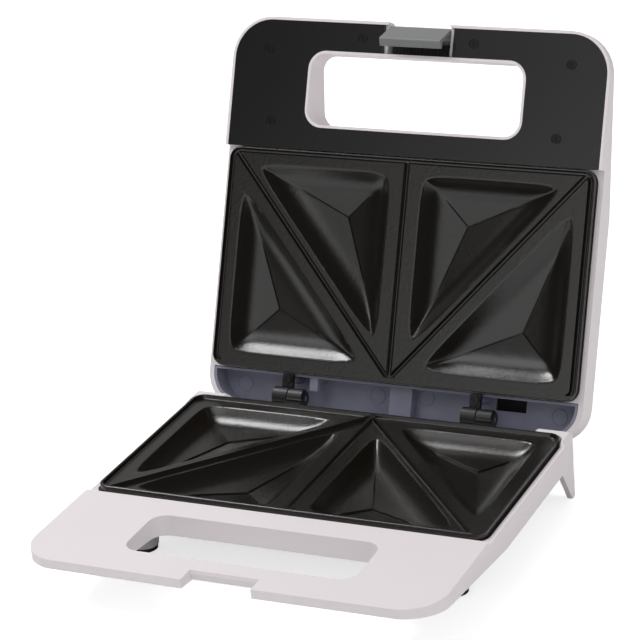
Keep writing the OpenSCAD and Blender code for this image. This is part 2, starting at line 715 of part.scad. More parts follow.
// Cord inlet: a bush clipped in the wall, with a collar outside
module cord_inlet() {
    color("black") in_base() translate([-inlet_x, inlet_y, inlet_z]) rotate([-90, 0, 0]) difference() {
        union() {
            translate([0, 0, -inlet_wall - 2]) cylinder(r = inlet_seat_r - 0.05, h = inlet_wall + 2.5);
            translate([0, 0, 0.05]) cylinder(r = inlet_seat_r + 1.2, h = 2);
            translate([0, 0, -inlet_wall - 2]) cylinder(r = inlet_seat_r + 0.3, h = 1.9);
        }
        translate([0, 0, -inlet_wall - 3]) cylinder(r = inlet_bore_r, h = inlet_wall + 6);
    }
}

// ---- hinges --------------------------------------------------------------

// The lid's knuckle lies on the left of each parting plane, the base's on the right
knuckle_gap = 0.3;
knuckle_cap = 1.2;
bracket_screw_z = -hinge_drop - base_knuckle_r - screw_head_r - fit;
function lid_knuckle_x(s) = s * hinge_x - (lid_knuckle_l + base_knuckle_l + knuckle_gap) / 2;
function base_knuckle_x(s) = lid_knuckle_x(s) + lid_knuckle_l + knuckle_gap;
function bracket_mid(s) = base_knuckle_x(s) + base_knuckle_l / 2;
function leaf_mid(s) = lid_knuckle_x(s) + lid_knuckle_l / 2;

module hinge_brackets() {
    l = base_knuckle_l;
    color([0.1, 0.1, 0.1]) in_base() for (s = [-1, 1]) translate([base_knuckle_x(s), 0, 0]) difference() {
        union() {
            translate([0, hinge_y, -hinge_drop]) rotate([0, 90, 0]) {
                cylinder(r = base_knuckle_r, h = l - knuckle_cap);
                translate([0, 0, l - knuckle_cap]) cylinder(r1 = base_knuckle_r, r2 = base_knuckle_r - knuckle_cap,
                    h = knuckle_cap);
            }
            translate([0, rear_y + 0.05, -hinge_drop - base_knuckle_r])
                cube([l, hinge_y - rear_y, base_knuckle_r + 1.5]);
            translate([0, rear_y + 0.05, bracket_screw_z - 4]) cube([l, 2.4, 4 - bracket_screw_z - ledge_drop]);
            translate([0, rear_y - 5, -ledge_drop + 0.02]) cube([l, hinge_y - rear_y + 5, 1.6]);
        }
        translate([-1, hinge_y, -hinge_drop]) rotate([0, 90, 0])
            cylinder(r = hinge_pin_r + pin_clear, h = l + 2);
        translate([l / 2, rear_y - 1, bracket_screw_z]) rotate([-90, 0, 0])
            cylinder(r = screw_core_r + 0.3, h = 5);
        // relief for the rear wall's top edge
        translate([-1, rear_y - 6, -side_drop]) cube([l + 2, 6.05, side_drop - ledge_drop + 0.02]);
    }
}

module bracket_screws() {
    color("silver") in_base() for (s = [-1, 1])
        translate([bracket_mid(s), rear_y + 2.5 + 1.3, bracket_screw_z]) rotate([-90, 0, 0])
            screw(bracket_screw_l, screw_head_r, 1.3, screw_core_r - 0.02);
}

module hinge_pins() {
    color("silver") in_base() for (s = [-1, 1])
        translate([lid_knuckle_x(s) + 0.2, hinge_y, -hinge_drop]) rotate([0, 90, 0])
            cylinder(r = hinge_pin_r, h = lid_knuckle_l + knuckle_gap + base_knuckle_l - 0.4);
}

leaf_z0 = 2.5;
leaf_t = 3.5;
leaf_screw_back = 9.8;
leaf_y0 = bay_y0 + 2 * fit;
leaf_screw_y = hinge_y - leaf_screw_back;
module lid_hinge_leaves() {
    l = lid_knuckle_l;
    color([0.1, 0.1, 0.1]) in_lid() for (s = [-1, 1]) translate([lid_knuckle_x(s), 0, 0]) difference() {
        union() {
            translate([0, hinge_y, -hinge_drop]) rotate([0, 90, 0]) cylinder(r = lid_knuckle_r, h = l);
            translate([1.2, leaf_y0, leaf_z0]) cube([l - 2.4, hinge_y - leaf_y0, leaf_t]);
            translate([1.2, hinge_y - 3.5, -hinge_drop]) cube([l - 2.4, 7, hinge_drop + leaf_z0 + leaf_t]);
        }
        translate([-1, hinge_y, -hinge_drop]) rotate([0, 90, 0])
            cylinder(r = hinge_pin_r + pin_clear, h = l + 2);
        translate([l / 2, leaf_screw_y, leaf_z0 - 1]) cylinder(r = screw_core_r + 0.3, h = leaf_t + 2);
    }
}

module leaf_screws() {
    color([0.15, 0.15, 0.15]) in_lid() for (s = [-1, 1])
        translate([leaf_mid(s), leaf_screw_y, leaf_z0 - 1.4]) mirror([0, 0, 1])
            screw(leaf_screw_l, screw_head_r, 1.4, screw_core_r - 0.02);
}

// ---- lid -----------------------------------------------------------------

// Upright disc with a rounded upper edge, an ingredient of the lid's outer form
module puck(r, z0, z1, fillet) {
    translate([0, 0, z0]) cylinder(r = r, h = z1 - fillet - z0, $fn = 32);
    translate([0, 0, z1 - fillet]) rotate_extrude($fn = 32) translate([r - fillet, 0])
        intersection() {
            circle(fillet, $fn = 32);
            square(fillet + 1);
        }
}

// The lid's form, inset by i, from height z0 up
module lid_form(i, z0) {
    crown_r = 22;
    crown_in = 26;
    hull() {
        for (s = [-1, 1]) {
            translate([s * (lid_w / 2 - front_r), -lid_front + front_r, 0])
                puck(front_r - i, z0, lid_nose_h - i, nose_fillet);
            translate([s * (lid_w / 2 - lid_rear_r), lid_y1 - lid_rear_r, 0])
                puck(lid_rear_r - i, z0, lid_rear_h - i, 6);
            translate([s * (lid_w / 2 - lid_rear_r), 24, 0])
                puck(lid_rear_r - i, z0, lid_rear_h - i, 6);
            translate([s * (lid_w / 2 - crown_r - crown_in), 24, 0])
                puck(crown_r - i, z0, lid_top_h - i, 10);
            translate([s * (lid_w / 2 - crown_r - crown_in), lid_y1 - 46, 0])
                puck(crown_r - i, z0, lid_top_h - i, 10);
        }
    }
}

panel_z = 0.3;
lamp_y = 4;
lamp_x = 14;
lens_r = 3.4;

module lid_casing() {
    color("white") in_lid() difference() {
        union() {
            difference() {
                lid_form(0, panel_z);
                lid_form(wall, panel_z - 5);
            }
            intersection() {
                lid_form(1, panel_z);
                lid_inside();
            }
        }
        // the lip of the plate and hinge end stands higher than the handle
        translate([-lid_w, panel_y1, -9]) cube([2 * lid_w, lid_y1 + 40, 9 + lip_h]);
        prism(lip_h - 1, up_z + skirt_h + 0.1) up_plan(-up_gap);
        prism(lip_h, up_z + skirt_h + 3) up_plan(4.5);
        prism(lip_h - 1, lip_h + 4) bay_plan(0);
        // rebate for the handle panel
        prism(-5, panel_z + panel_t + 0.1) slab(lid_w - 2 * panel_lip, panel_y0, 5, front_r - panel_lip, 2);
        prism(-5, lid_top_h) hole_plan(0);
        // slot for the latch
        translate([-slot_w / 2, -lid_front - 5, -5]) cube([slot_w, 5 + lid_front + latch_slot_y, 5 + latch_pz + 0.6]);
        translate([-slot_w / 2, -lid_front - 5, -5]) cube([slot_w, 7.8, 5 + lid_nose_h - 2.6]);
        translate([-slot_w / 2, latch_py, latch_pz]) rotate([0, 90, 0])
            cylinder(r = latch_barrel_r + 0.4, h = slot_w);
        translate([-slot_w / 2 - cheek - 1, latch_py, latch_pz]) rotate([0, 90, 0])
            cylinder(r = latch_pin_r + pin_clear, h = slot_w + 2 * cheek + 2);
        for (p = panel_screws) translate([p[0], p[1], -1]) cylinder(r = screw_core_r, h = 10);
        for (s = [-1, 1]) translate([s * lamp_x, lamp_y, lid_top_h - 14]) cylinder(r = lens_r + 0.05, h = 16);
    }
    color("white") in_lid() intersection() {
        lid_form(1, panel_z);
        difference() {
            prism(panel_z - 0.3, lid_top_h) hole_plan(sleeve_t);
            prism(panel_z - 1, lid_top_h + 1) hole_plan(0);
        }
    }
}

sleeve_t = 1.6;

// Inner walls and bosses of the lid
module lid_inside() {
    // lip plate round the cooking plate and the hinge bay
    prism(lip_h, lip_h + 2.8) slab(lid_w - 2, panel_y1 - wall, lid_y1 - 1, 3, lid_rear_r - 1);
    // cross wall behind the handle
    translate([-lid_w / 2, panel_y1 - wall, panel_z + panel_t + 0.1]) cube([lid_w, wall, lid_top_h]);
    // sleeve of the finger hole
    prism(panel_z, lid_top_h) hole_plan(sleeve_t);
    // cheeks of the latch slot
    for (s = [-1, 1]) translate([s > 0 ? slot_w / 2 : -slot_w / 2 - cheek, -lid_front, panel_z])
        cube([cheek, lid_front + hole_y0 - sleeve_t / 2, lid_top_h]);
    for (p = panel_screws) translate([p[0], p[1], panel_z + panel_t + 0.1]) cylinder(r = 3, h = lid_top_h);
}

module panel_plan(inset) {
    slab(lid_w - 2 * panel_lip - 2 * inset, panel_y0 + inset, panel_y1, front_r - panel_lip - inset, 1);
}

module lid_panel() {
    color([0.12, 0.12, 0.12]) in_lid() difference() {
        prism(panel_z, panel_z + panel_t) panel_plan(0.15);
        prism(-5, 10) hole_plan(sleeve_t + 0.15);
        translate([-slot_w / 2 - cheek - 0.15, -lid_front - 1, -5])
            cube([slot_w + 2 * cheek + 0.3, lid_front + 1 + latch_slot_y, 10]);
        for (p = panel_screws) translate([p[0], p[1], -1]) {
            cylinder(r = screw_core_r + 0.3, h = 6);
            cylinder(r = screw_head_r + 0.3, h = 1 + panel_z + screw_head_h);
        }
    }
}

module panel_screws_set() {
    color([0.08, 0.08, 0.08]) in_lid() for (p = panel_screws) translate([p[0], p[1], panel_z])
        mirror([0, 0, 1]) screw(panel_screw_l, screw_head_r, screw_head_h, screw_core_r - 0.02);
}

bay_z = 20;
liner_t = 1.4;
module bay_plan(inset) {
    r = lid_rear_r - wall - inset;
    intersection() {
        slab(lid_w - 2 * wall - 1 - 2 * inset, bay_y0 - lid_rear_r, lid_y1 - wall - 0.3 - inset, 2, r);
        translate([-lid_w, bay_y0 + inset]) square([2 * lid_w, lid_rear_r * 3]);
    }
}
rib_w = 13.4;
rib_x = 4.2;
rib_rise = 8;
clip_w = 5;
clip_l = 8.8;
clip_gap = 7.2;
module hinge_bay_liner() {
    y0 = bay_y0 + fit;
    y1 = lid_y1 - wall - 0.6;
    color([0.42, 0.43, 0.48]) in_lid() difference() {
        union() {
            difference() {
                prism(lip_h + 0.05, bay_z + liner_t) bay_plan(fit);
                prism(0, bay_z) bay_plan(fit + liner_t);
            }
            // raised rib beside the middle, over the lead
            translate([rib_x - rib_w / 2, y0 + 0.5, bay_z - rib_rise]) cube([rib_w, y1 - y0 - 1, rib_rise + 0.5]);
            // hooked clip beside the left hinge
            translate([-hinge_x + clip_gap, 0, 0]) rotate([90, 0, 90]) linear_extrude(clip_w)
                polygon([[y0 + 0.5, lip_h + 0.4], [y0 + clip_l, lip_h + 0.4], [y0 + clip_l, lip_h + 3.4],
                    [y0 + 4, lip_h + 5], [y0 + 4, bay_z + 0.5], [y0 + 0.5, bay_z + 0.5]]);
            // bosses for the hinge leaves
            for (s = [-1, 1]) translate([leaf_mid(s), leaf_screw_y, leaf_z0 + leaf_t])
                cylinder(r = 2.9, h = bay_z - leaf_z0 - leaf_t + 0.5);
        }
        for (s = [-1, 1]) translate([leaf_mid(s), leaf_screw_y, 0]) cylinder(r = screw_core_r, h = 13);
        // opening where the lead comes through beside the right hinge
        translate([hinge_x + 1.5, y0 + liner_t + 0.5, bay_z - 2]) cube([18, 7, 5]);
        translate([0, lid_y1 - wall - 5, bay_z - 2]) cylinder(r = 1.2, h = 5);
    }
}

module upper_plate() {
    top = up_z + up_t;
    color([0.2, 0.19, 0.19]) in_lid() difference() {
        union() {
            difference() {
                prism(up_z, up_z + skirt_h) up_plan(0);
                prism(top, up_z + skirt_h + 1) up_plan(1.6);
            }
            each_pocket() for (t = [outer_tri, inner_tri])
                pocket_loft(t, up_z + 0.2, 1, pocket_depth + plate_t - 0.2, plate_t * 0.9, 0);
            for (p = post_xy) translate([p[0], p[1], top - 0.5]) cylinder(r = post_r, h = tray_up_z - top + 0.5);
        }
        // groove along the front and the sides, and those opposite the lower plate's ridges
        difference() {
            prism(up_z - 1, up_z + groove_h) up_plan(rim_w);
            prism(up_z - 2, up_z + groove_h + 1) up_plan(rim_w + ridge_w);
            translate([-plate_w, up_y1 - plate_r / 2, up_z - 2]) cube([2 * plate_w, plate_r, groove_h + 4]);
        }
        prism(up_z - 1, up_z + groove_h) divider_plan(ridge_w + 0.6);
        each_pocket() for (t = [outer_tri, inner_tri]) difference() {
            pocket_loft(t, up_z, 1, pocket_depth, 0, 1);
            pocket_ribs(t, up_z, 1, pocket_depth);
        }
        for (p = post_xy) translate([p[0], p[1], tray_up_z - 8]) cylinder(r = screw_core_r, h = 9);
    }
}

module upper_element() { color("dimgray") in_lid() element(tube_up_z); }

module upper_reflector() { color("silver") in_lid() tray(tray_up_z, -1); }

module upper_plate_screws() {
    color("silver") in_lid() for (p = post_xy) translate([p[0], p[1], tray_up_z + tray_t + 1.5])
        screw(plate_screw_l, screw_head_r + 0.2, 1.5, screw_core_r - 0.02);
}

module thermal_fuse() {
    color("ivory") in_lid() translate([0, middle_y - 7.5, up_z + up_t + 2.1]) rotate([-90, 0, 0]) {
        cylinder(r = 2, h = 14);
        translate([0, 0, -6]) cylinder(r = 0.6, h = 26);
    }
}

// Lamp lens: a rod through the lid's top with a domed cap
module lamp_lens(x) {
    dome = norm([4, lens_r]);
    translate([x, lamp_y, lid_top_h - 11.4]) rotate_extrude() {
        square([lens_r, 10.2]);
        intersection() {
            translate([0, 10.2 - 4]) circle(dome);
            translate([0, 10]) square([lens_r, 4]);
        }
    }
}

module power_lamp_lens() { color("red") in_lid() lamp_lens(-lamp_x); }
module ready_lamp_lens() { color("green") in_lid() lamp_lens(lamp_x); }

// ---- latch ---------------------------------------------------------------

// A point of the latch: s mm down from the pivot along its face, w mm out in front of it
function latch_pt(s, w) = [latch_py + s * sin(latch_lean) - w * cos(latch_lean),
    latch_pz - s * cos(latch_lean) - w * sin(latch_lean)];
latch_in = latch_out - latch_t;
// distance down the latch at which an offset w lies at height z
function latch_s(z, w) = (latch_pz - z - w * sin(latch_lean)) / cos(latch_lean);
hook_z = under_z(-handle_d + catch_set + 7) - 0.4;
hook_w = latch_in - 3.2;

module latch() {
    color([0.52, 0.55, 0.54]) in_lid() difference() {
        union() {
            along_x(latch_w) polygon([latch_pt(1.6, latch_out), latch_pt(latch_l - 0.7, latch_out),
                latch_pt(latch_l, latch_out - 0.7), latch_pt(latch_l, hook_w + 0.5), latch_pt(latch_l - 0.5, hook_w),
                latch_pt(latch_s(hook_z, hook_w), hook_w), latch_pt(latch_s(hook_z, latch_in), latch_in),
                latch_pt(4.5, latch_in), latch_pt(2.3, 0.5), latch_pt(-1.5, 1), latch_pt(-0.5, 2.4)]);
            translate([0, latch_py, latch_pz]) rotate([0, 90, 0]) translate([0, 0, -latch_w / 2])
                cylinder(r = latch_barrel_r, h = latch_w);
        }
        translate([0, latch_py, latch_pz]) rotate([0, 90, 0]) translate([0, 0, -latch_w])
            cylinder(r = latch_pin_r + pin_clear, h = 2 * latch_w);
    }
}

module latch_pin() {
    color("silver") in_lid() translate([0, latch_py, latch_pz]) rotate([0, 90, 0])
        translate([0, 0, -slot_w / 2 - cheek + 0.2]) cylinder(r = latch_pin_r, h = slot_w + 2 * cheek - 0.4);
}

// ---- drawing -------------------------------------------------------------

base_casing();
base_bottom();
base_screws();
rubber_feet();
lower_plate();
lower_element();
lower_reflector();
lower_plate_screws();
thermostat();
terminal_block();
cord_inlet();
hinge_brackets();
bracket_screws();
hinge_pins();
lid_casing();
lid_panel();
panel_screws_set();
hinge_bay_liner();
lid_hinge_leaves();
leaf_screws();
upper_plate();
upper_element();
upper_reflector();
upper_plate_screws();
thermal_fuse();
power_lamp_lens();
ready_lamp_lens();
latch();
latch_pin();
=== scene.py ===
import bmesh
import bpy
import json
import math
import numpy as np
from mathutils import Matrix


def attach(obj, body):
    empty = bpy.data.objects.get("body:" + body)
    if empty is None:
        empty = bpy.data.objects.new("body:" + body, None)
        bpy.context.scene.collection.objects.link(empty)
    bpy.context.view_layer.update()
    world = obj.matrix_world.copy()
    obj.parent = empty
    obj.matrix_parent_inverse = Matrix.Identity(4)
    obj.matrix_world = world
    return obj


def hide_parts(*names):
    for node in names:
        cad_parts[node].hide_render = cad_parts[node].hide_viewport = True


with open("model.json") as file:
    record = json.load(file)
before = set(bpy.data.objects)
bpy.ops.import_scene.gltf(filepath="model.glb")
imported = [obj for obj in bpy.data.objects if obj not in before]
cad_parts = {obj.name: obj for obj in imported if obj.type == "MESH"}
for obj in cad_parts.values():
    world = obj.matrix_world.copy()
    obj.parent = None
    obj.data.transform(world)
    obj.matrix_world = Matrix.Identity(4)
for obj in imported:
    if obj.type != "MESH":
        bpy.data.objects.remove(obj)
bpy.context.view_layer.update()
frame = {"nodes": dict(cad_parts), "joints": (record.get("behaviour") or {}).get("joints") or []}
nodes = frame["nodes"]
MM = 0.001

# ---------------------------------------------------------------- sizes and places, in millimetres
# Places are given as on the closed toaster: y = 0 is the rear edge of the base's handle and z = 0
# is the plane where the plates meet. base_mm and lid_mm carry them to the opened toaster.
hinge = next(j for j in frame["joints"] if j["name"] == "lid_hinge")
AXIS_Y, AXIS_Z = hinge["pos_m"][1] / MM, hinge["pos_m"][2] / MM
OPEN = math.radians(hinge["range_deg"][1])
STAND_H = 39.0  # the plane where the plates meet, above the worktop
HINGE_Y = 140.7  # the hinge's axis
HINGE_Z = AXIS_Z - STAND_H
Y0 = AXIS_Y - HINGE_Y

# The camera: angles in degrees, distances in units of VIEW_UNIT millimetres, lens in pixels
VIEW_AZ, VIEW_EL, VIEW_ROLL = 25.327, 22.216, -4.549
VIEW_UNIT = 230 / 235
VIEW_DIST, VIEW_SHIFT = 1386.6, (-20.934, -101.971)
FOCAL_PX, FRAME_PX, SENSOR, CLIP_END = 2612.2, 640, 36, 20

# Meshes
SHARP_DEG = 40.0  # edges over this angle stay sharp in the shading
MERGE_DIST = 2e-6  # metres between corners that count as one
FLAT_DEG = 0.6  # faces that meet at less than this angle are joined to one
EASE_STEPS = 2  # faces across an eased edge

# The plates' outlines: half width and corner radius, then the front and rear edge of each
PLATE_X, PLATE_R = 111.0, 7.0
LOWER_Y, UPPER_Y = (3.2, 127.7), (-0.9, 126.7)
UPPER_LIFT = 0.5  # the upper plate's flats, above the plane where the plates meet
# Below the flats: the skirt's edge on each plate, and the plates' underside with its share of the
# outline; then the skirt's steps, each as how far in and how far above the skirt's edge
LOWER_FOOT, UPPER_FOOT, UNDER_Z, UNDER_SHARE = -5.0, -7.0, -10.4, 0.93
SKIRT_TOP, SKIRT = 0.7, ((0.0, 0.3), (0.3, 0.0), (1.5, 0.0), (1.6, 0.4))
# The slanting line between two pockets, on the right half
DIV_0, DIV_1 = np.array([105.4, 3.2]), np.array([0.0, 125.1])
DIV_N = np.array([(DIV_1 - DIV_0)[1], (DIV_0 - DIV_1)[0]]) / np.hypot(*(DIV_1 - DIV_0))
DIV_C = float(DIV_N @ DIV_0)
# Ridges of the lower plate and grooves of the upper one: height or depth, half widths, the fall
# of a ridge's flank, and where the edge's own lies
RIDGE, RIDGE_HALF, RIDGE_SOFT, EDGE_RIDGE = 2.0, 0.95, 0.9, 1.9
GROOVE, GROOVE_HALF, EDGE_GROOVE_IN, EDGE_GROOVE_HALF = 1.8, 1.3, 2.1, 1.25
LINE_IN, LINE_SHORT, EDGE_SHORT = 1.5, 2.6, 3.5  # how far before the plate's edges grooves end
EDGE_DROP, EDGE_DROP_W = 0.35, 0.5  # the rounding of the plate's outer edge
# Pockets: roundness of the corners by distance inwards; the rim's easing, and how near to it grid
# points are moved onto it; the fall, as its slope every 0.05 mm inwards, summed to a depth
SOFT_AT, SOFT = [0, 5, 14], [4.4, 2.4, 0.8, 0.12]
RIM_DROP, RIM_EASE, RIM_SNAP = 0.12, 0.55, 0.36
WALL_SLOPE, WALL_WIDE, FLOOR_SLOPE, FALL_SHARE = 0.84, 8.2, 0.1, 0.98
FAR, FAR_STEP = np.linspace(0, 30, 601), 0.05
MID_STEP = FAR_STEP / 2
FALL_RATE = WALL_SLOPE * np.exp(-((FAR + MID_STEP) / WALL_WIDE) ** 2) + FLOOR_SLOPE
FALL = np.concatenate([[0], np.cumsum(FALL_RATE[:-1] * FAR_STEP)])
# Grid of the cooking faces: cell depth, and the band along each edge with cells of its own
CELL_Y, SIDE_BAND, FRONT_BAND, REAR_BAND, BAND_GAP, BAND_CELLS = 0.69, 4.4, 4.2, 4.4, 0.2, 13
# Ribs in the pockets: share of the way to the corner, half width, height, depth sunk in, and how
# steeply the end falls away
RIB_REACH, RIB_HALF, RIB_H, RIB_SUNK, RIB_END = 0.54, 0.42, 0.75, 0.25, 5

# Small pieces of the lid: the rings' radius, thickness and height, and their spots; the middle,
# half sizes, dish and thickness of a black sheet of painted shade in the opening beside the right
# hinge; the strip's half length, front and back edge, face and back height, and its ribs
RING_R, RING_TUBE, RING_Z = 4.5, 0.28, 20.0 - 0.12
RING_SPOTS = ((-97.0, 136.6), (-13.0, 135.7), (17.0, 133.8), (97.0, 136.6))
SHADE_DISH_AT, SHADE_DISH_HALF, SHADE_DISH_DEPTH, SHADE_DISH_T = (68.1, 132.7, 21.8), (9.6, 4.1), 1.6, 0.6
STRIP_X, STRIP_Y, STRIP_Z, STRIP_RIB, STRIP_PITCH = 17.4, (-66.0, -59.4), (7.6, 8.0), 0.4, 2.2

# Floor, in metres: half width, half of the flat part, radius of the bend, top of the backdrop, gap
# under the feet; and its glow
FLOOR_X, FLOOR_Y, FLOOR_BEND, FLOOR_TOP, FLOOR_DROP, FLOOR_GLOW = 6, 3, 1.5, 5, 0.0002, 0.62
# What mirrored rays see: the middle of the white zone, the cosines where it begins and is full, and
# the strength outside and inside; then the world's strength for all rays but those and the camera's
MIRROR_WAY, MIRROR_EDGE, MIRROR_GLOW = (-0.086, -0.986, 0.139), (0.896, 0.942), (0.05, 1.0)
AMBIENT = 0.48
LAMP_AIM = (0, 0, 0.08)  # metres


def base_mm(p):
    """Closed-toaster millimetres to metres in the frame, for what belongs to the base."""
    p = np.asarray(p, float)
    return (p + (0.0, Y0, STAND_H)) * MM


def lid_mm(p):
    """The same for what belongs to the lid: turned about the hinge axis to the open position."""
    p = np.asarray(p, float)
    y, z = p[..., 1] - HINGE_Y, p[..., 2] - HINGE_Z
    c, s = math.cos(-OPEN), math.sin(-OPEN)
    return np.stack([p[..., 0], AXIS_Y + y * c - z * s, AXIS_Z + y * s + z * c], -1) * MM


def srgb(r, g, b):
    """An on-screen colour, 0 to 255, as linear light."""
    c = np.array([r, g, b], float) / 255
    c = np.where(c <= 0.04045, c / 12.92, ((c + 0.055) / 1.055) ** 2.4)
    return (float(c[0]), float(c[1]), float(c[2]), 1.0)


def placed(name, data, x, y, z, at):
    """A camera or lamp at a place, its local axes along x, y and z."""
    o = bpy.data.objects.new(name, data)
    bpy.context.scene.collection.objects.link(o)
    m = Matrix.Identity(4)
    for i in range(3):
        m[i][0], m[i][1], m[i][2], m[i][3] = x[i], y[i], z[i], at[i]
    o.matrix_world = m
    return o


# ---------------------------------------------------------------- camera
def place_camera():
    """Eye point and turn from azimuth, elevation and roll; the lens is given in pixels."""
    az, el, roll = math.radians(VIEW_AZ), math.radians(VIEW_EL), math.radians(VIEW_ROLL)
    back = np.array([math.sin(az) * math.cos(el), -math.cos(az) * math.cos(el), math.sin(el)])
    right = np.array([math.cos(az), math.sin(az), 0.0])
    up = np.cross(back, right)
    c, s = math.cos(roll), math.sin(roll)
    right, up = c * right + s * up, -s * right + c * up
    eye = (-VIEW_SHIFT[0] * right - VIEW_SHIFT[1] * up + VIEW_DIST * back) * VIEW_UNIT
    data = bpy.data.cameras.new("camera")
    data.sensor_width = SENSOR
    data.lens = FOCAL_PX / FRAME_PX * SENSOR
    data.clip_end = CLIP_END
    bpy.context.scene.camera = placed("camera", data, right, up, back, base_mm(eye))


# ---------------------------------------------------------------- shader groups
def new_group(name, ins, outs):
    """An empty shader group with named sockets; returns its tree, input node and output node."""
    g = bpy.data.node_groups.new(name, "ShaderNodeTree")
    for label, kind, value in ins:
        s = g.interface.new_socket(label, in_out="INPUT", socket_type=kind)
        s.default_value = value
    for label, kind in outs:
        g.interface.new_socket(label, in_out="OUTPUT", socket_type=kind)
    return g, g.nodes.new("NodeGroupInput"), g.nodes.new("NodeGroupOutput")


def math_node(tree, kind, a, b):
    """One Math node; a and b are sockets or numbers."""
    n = tree.nodes.new("ShaderNodeMath")
    n.operation = kind
    for i, v in enumerate((a, b)):
        if isinstance(v, (int, float)):
            n.inputs[i].default_value = v
        else:
            tree.links.new(v, n.inputs[i])
    return n.outputs[0]


def group_grain():
    """Spark-eroded moulding texture: two noises, one about three times coarser, summed to a
    height."""
    g, i, o = new_group("mould grain", [("Scale", "NodeSocketFloat", 900.0)],
                        [("Height", "NodeSocketFloat")])
    tc = g.nodes.new("ShaderNodeTexCoord")
    hs = []
    for share, detail in ((1.0, 2.0), (0.31, 1.0)):
        n = g.nodes.new("ShaderNodeTexNoise")
        n.inputs["Detail"].default_value = detail
        g.links.new(tc.outputs["Object"], n.inputs["Vector"])
        g.links.new(math_node(g, "MULTIPLY", i.outputs["Scale"], share), n.inputs["Scale"])
        hs.append(n.outputs["Fac"])
    g.links.new(math_node(g, "ADD", hs[0], hs[1]), o.inputs["Height"])
    return g


def group_drift():
    """Slow drift of tone: a large soft noise moves the colour between itself and a darker one, and
    swings the roughness about its middle by the spread."""
    g, i, o = new_group(
        "tone drift",
        [("Color", "NodeSocketColor", (0.5, 0.5, 0.5, 1)),
         ("Shade", "NodeSocketColor", (0.4, 0.4, 0.4, 1)),
         ("Scale", "NodeSocketFloat", 12.0), ("Roughness", "NodeSocketFloat", 0.4),
         ("Spread", "NodeSocketFloat", 0.06)],
        [("Color", "NodeSocketColor"), ("Roughness", "NodeSocketFloat")])
    tc = g.nodes.new("ShaderNodeTexCoord")
    n = g.nodes.new("ShaderNodeTexNoise")
    n.inputs["Detail"].default_value = 3.0
    g.links.new(tc.outputs["Object"], n.inputs["Vector"])
    g.links.new(i.outputs["Scale"], n.inputs["Scale"])
    mix = g.nodes.new("ShaderNodeMix")
    mix.data_type = "RGBA"
    g.links.new(n.outputs["Fac"], mix.inputs["Factor"])
    g.links.new(i.outputs["Color"], mix.inputs["A"])
    g.links.new(i.outputs["Shade"], mix.inputs["B"])
    g.links.new(mix.outputs["Result"], o.inputs["Color"])
    off_mean = math_node(g, "SUBTRACT", n.outputs["Fac"], 0.5)
    swing = math_node(g, "MULTIPLY", off_mean, i.outputs["Spread"])
    g.links.new(math_node(g, "ADD", i.outputs["Roughness"], swing), o.inputs["Roughness"])
    return g


GRAIN, DRIFT = group_grain(), group_drift()
GRAIN_HEIGHT = 0.0002  # metres
COAT_ROUGH = 0.2


def finish_of(name, color, shade, rough, spread=0.06, drift=14.0, grain=900.0, bump=0.08,
              metal=0.0, coat=0.0, specular=0.5):
    """A material: drifting colour and roughness over a fine grain, with its own fixed gloss."""
    m = bpy.data.materials.new(name)
    m.use_nodes = True
    t = m.node_tree
    p = t.nodes["Principled BSDF"]
    d = t.nodes.new("ShaderNodeGroup")
    d.node_tree = DRIFT
    d.inputs["Color"].default_value = color
    d.inputs["Shade"].default_value = shade
    d.inputs["Scale"].default_value = drift
    d.inputs["Roughness"].default_value = rough
    d.inputs["Spread"].default_value = spread
    t.links.new(d.outputs["Color"], p.inputs["Base Color"])
    t.links.new(d.outputs["Roughness"], p.inputs["Roughness"])
    h = t.nodes.new("ShaderNodeGroup")
    h.node_tree = GRAIN
    h.inputs["Scale"].default_value = grain
    b = t.nodes.new("ShaderNodeBump")
    b.inputs["Strength"].default_value = bump
    b.inputs["Distance"].default_value = GRAIN_HEIGHT
    t.links.new(h.outputs["Height"], b.inputs["Height"])
    t.links.new(b.outputs["Normal"], p.inputs["Normal"])
    p.inputs["Metallic"].default_value = metal
    p.inputs["Coat Weight"].default_value = coat
    p.inputs["Coat Roughness"].default_value = COAT_ROUGH
    p.inputs["Specular IOR Level"].default_value = specular
    return m


white = finish_of("white moulding", srgb(236, 229, 231), srgb(230, 222, 225), 0.42, bump=0.05)
grey = finish_of("grey moulding", srgb(205, 203, 203), srgb(196, 194, 195), 0.5)
panel_black = finish_of("black handle panel", srgb(12, 12, 13), srgb(9, 9, 10), 0.2, spread=0.03,
                        grain=1400, specular=0.7)
nonstick = finish_of("non-stick coating", srgb(21, 17, 12), srgb(16, 13, 10), 0.23, spread=0.05,
                     bump=0.3, grain=1600, specular=0.75)
bay = finish_of("blue-grey liner", srgb(158, 160, 178), srgb(118, 120, 138), 0.45, drift=60.0,
                bump=0.35, grain=500)
latch_grey = finish_of("latch grey", srgb(126, 127, 127), srgb(118, 119, 119), 0.4)
black = finish_of("black moulding", srgb(22, 22, 24), srgb(16, 16, 18), 0.4)
rubber = finish_of("black rubber", srgb(26, 26, 26), srgb(20, 20, 20), 0.75, bump=0.3)
steel = finish_of("plated steel", srgb(190, 190, 192), srgb(170, 170, 174), 0.3, metal=1.0)
dark_steel = finish_of("black screw", srgb(20, 20, 20), srgb(14, 14, 14), 0.28, metal=0.3)
sheet = finish_of("bright sheet", srgb(205, 206, 210), srgb(190, 192, 196), 0.25, metal=1.0)
sheath = finish_of("heater sheath", srgb(78, 74, 72), srgb(60, 56, 54), 0.5, metal=0.8)
phenolic = finish_of("brown phenolic", srgb(90, 58, 40), srgb(74, 46, 32), 0.5)
ceramic = finish_of("ivory ceramic", srgb(222, 216, 200), srgb(212, 206, 190), 0.45)
red_lens = finish_of("red lens", srgb(200, 30, 24), srgb(170, 22, 18), 0.12, coat=0.6)
green_lens = finish_of("green lens", srgb(40, 160, 60), srgb(30, 130, 50), 0.12, coat=0.6)

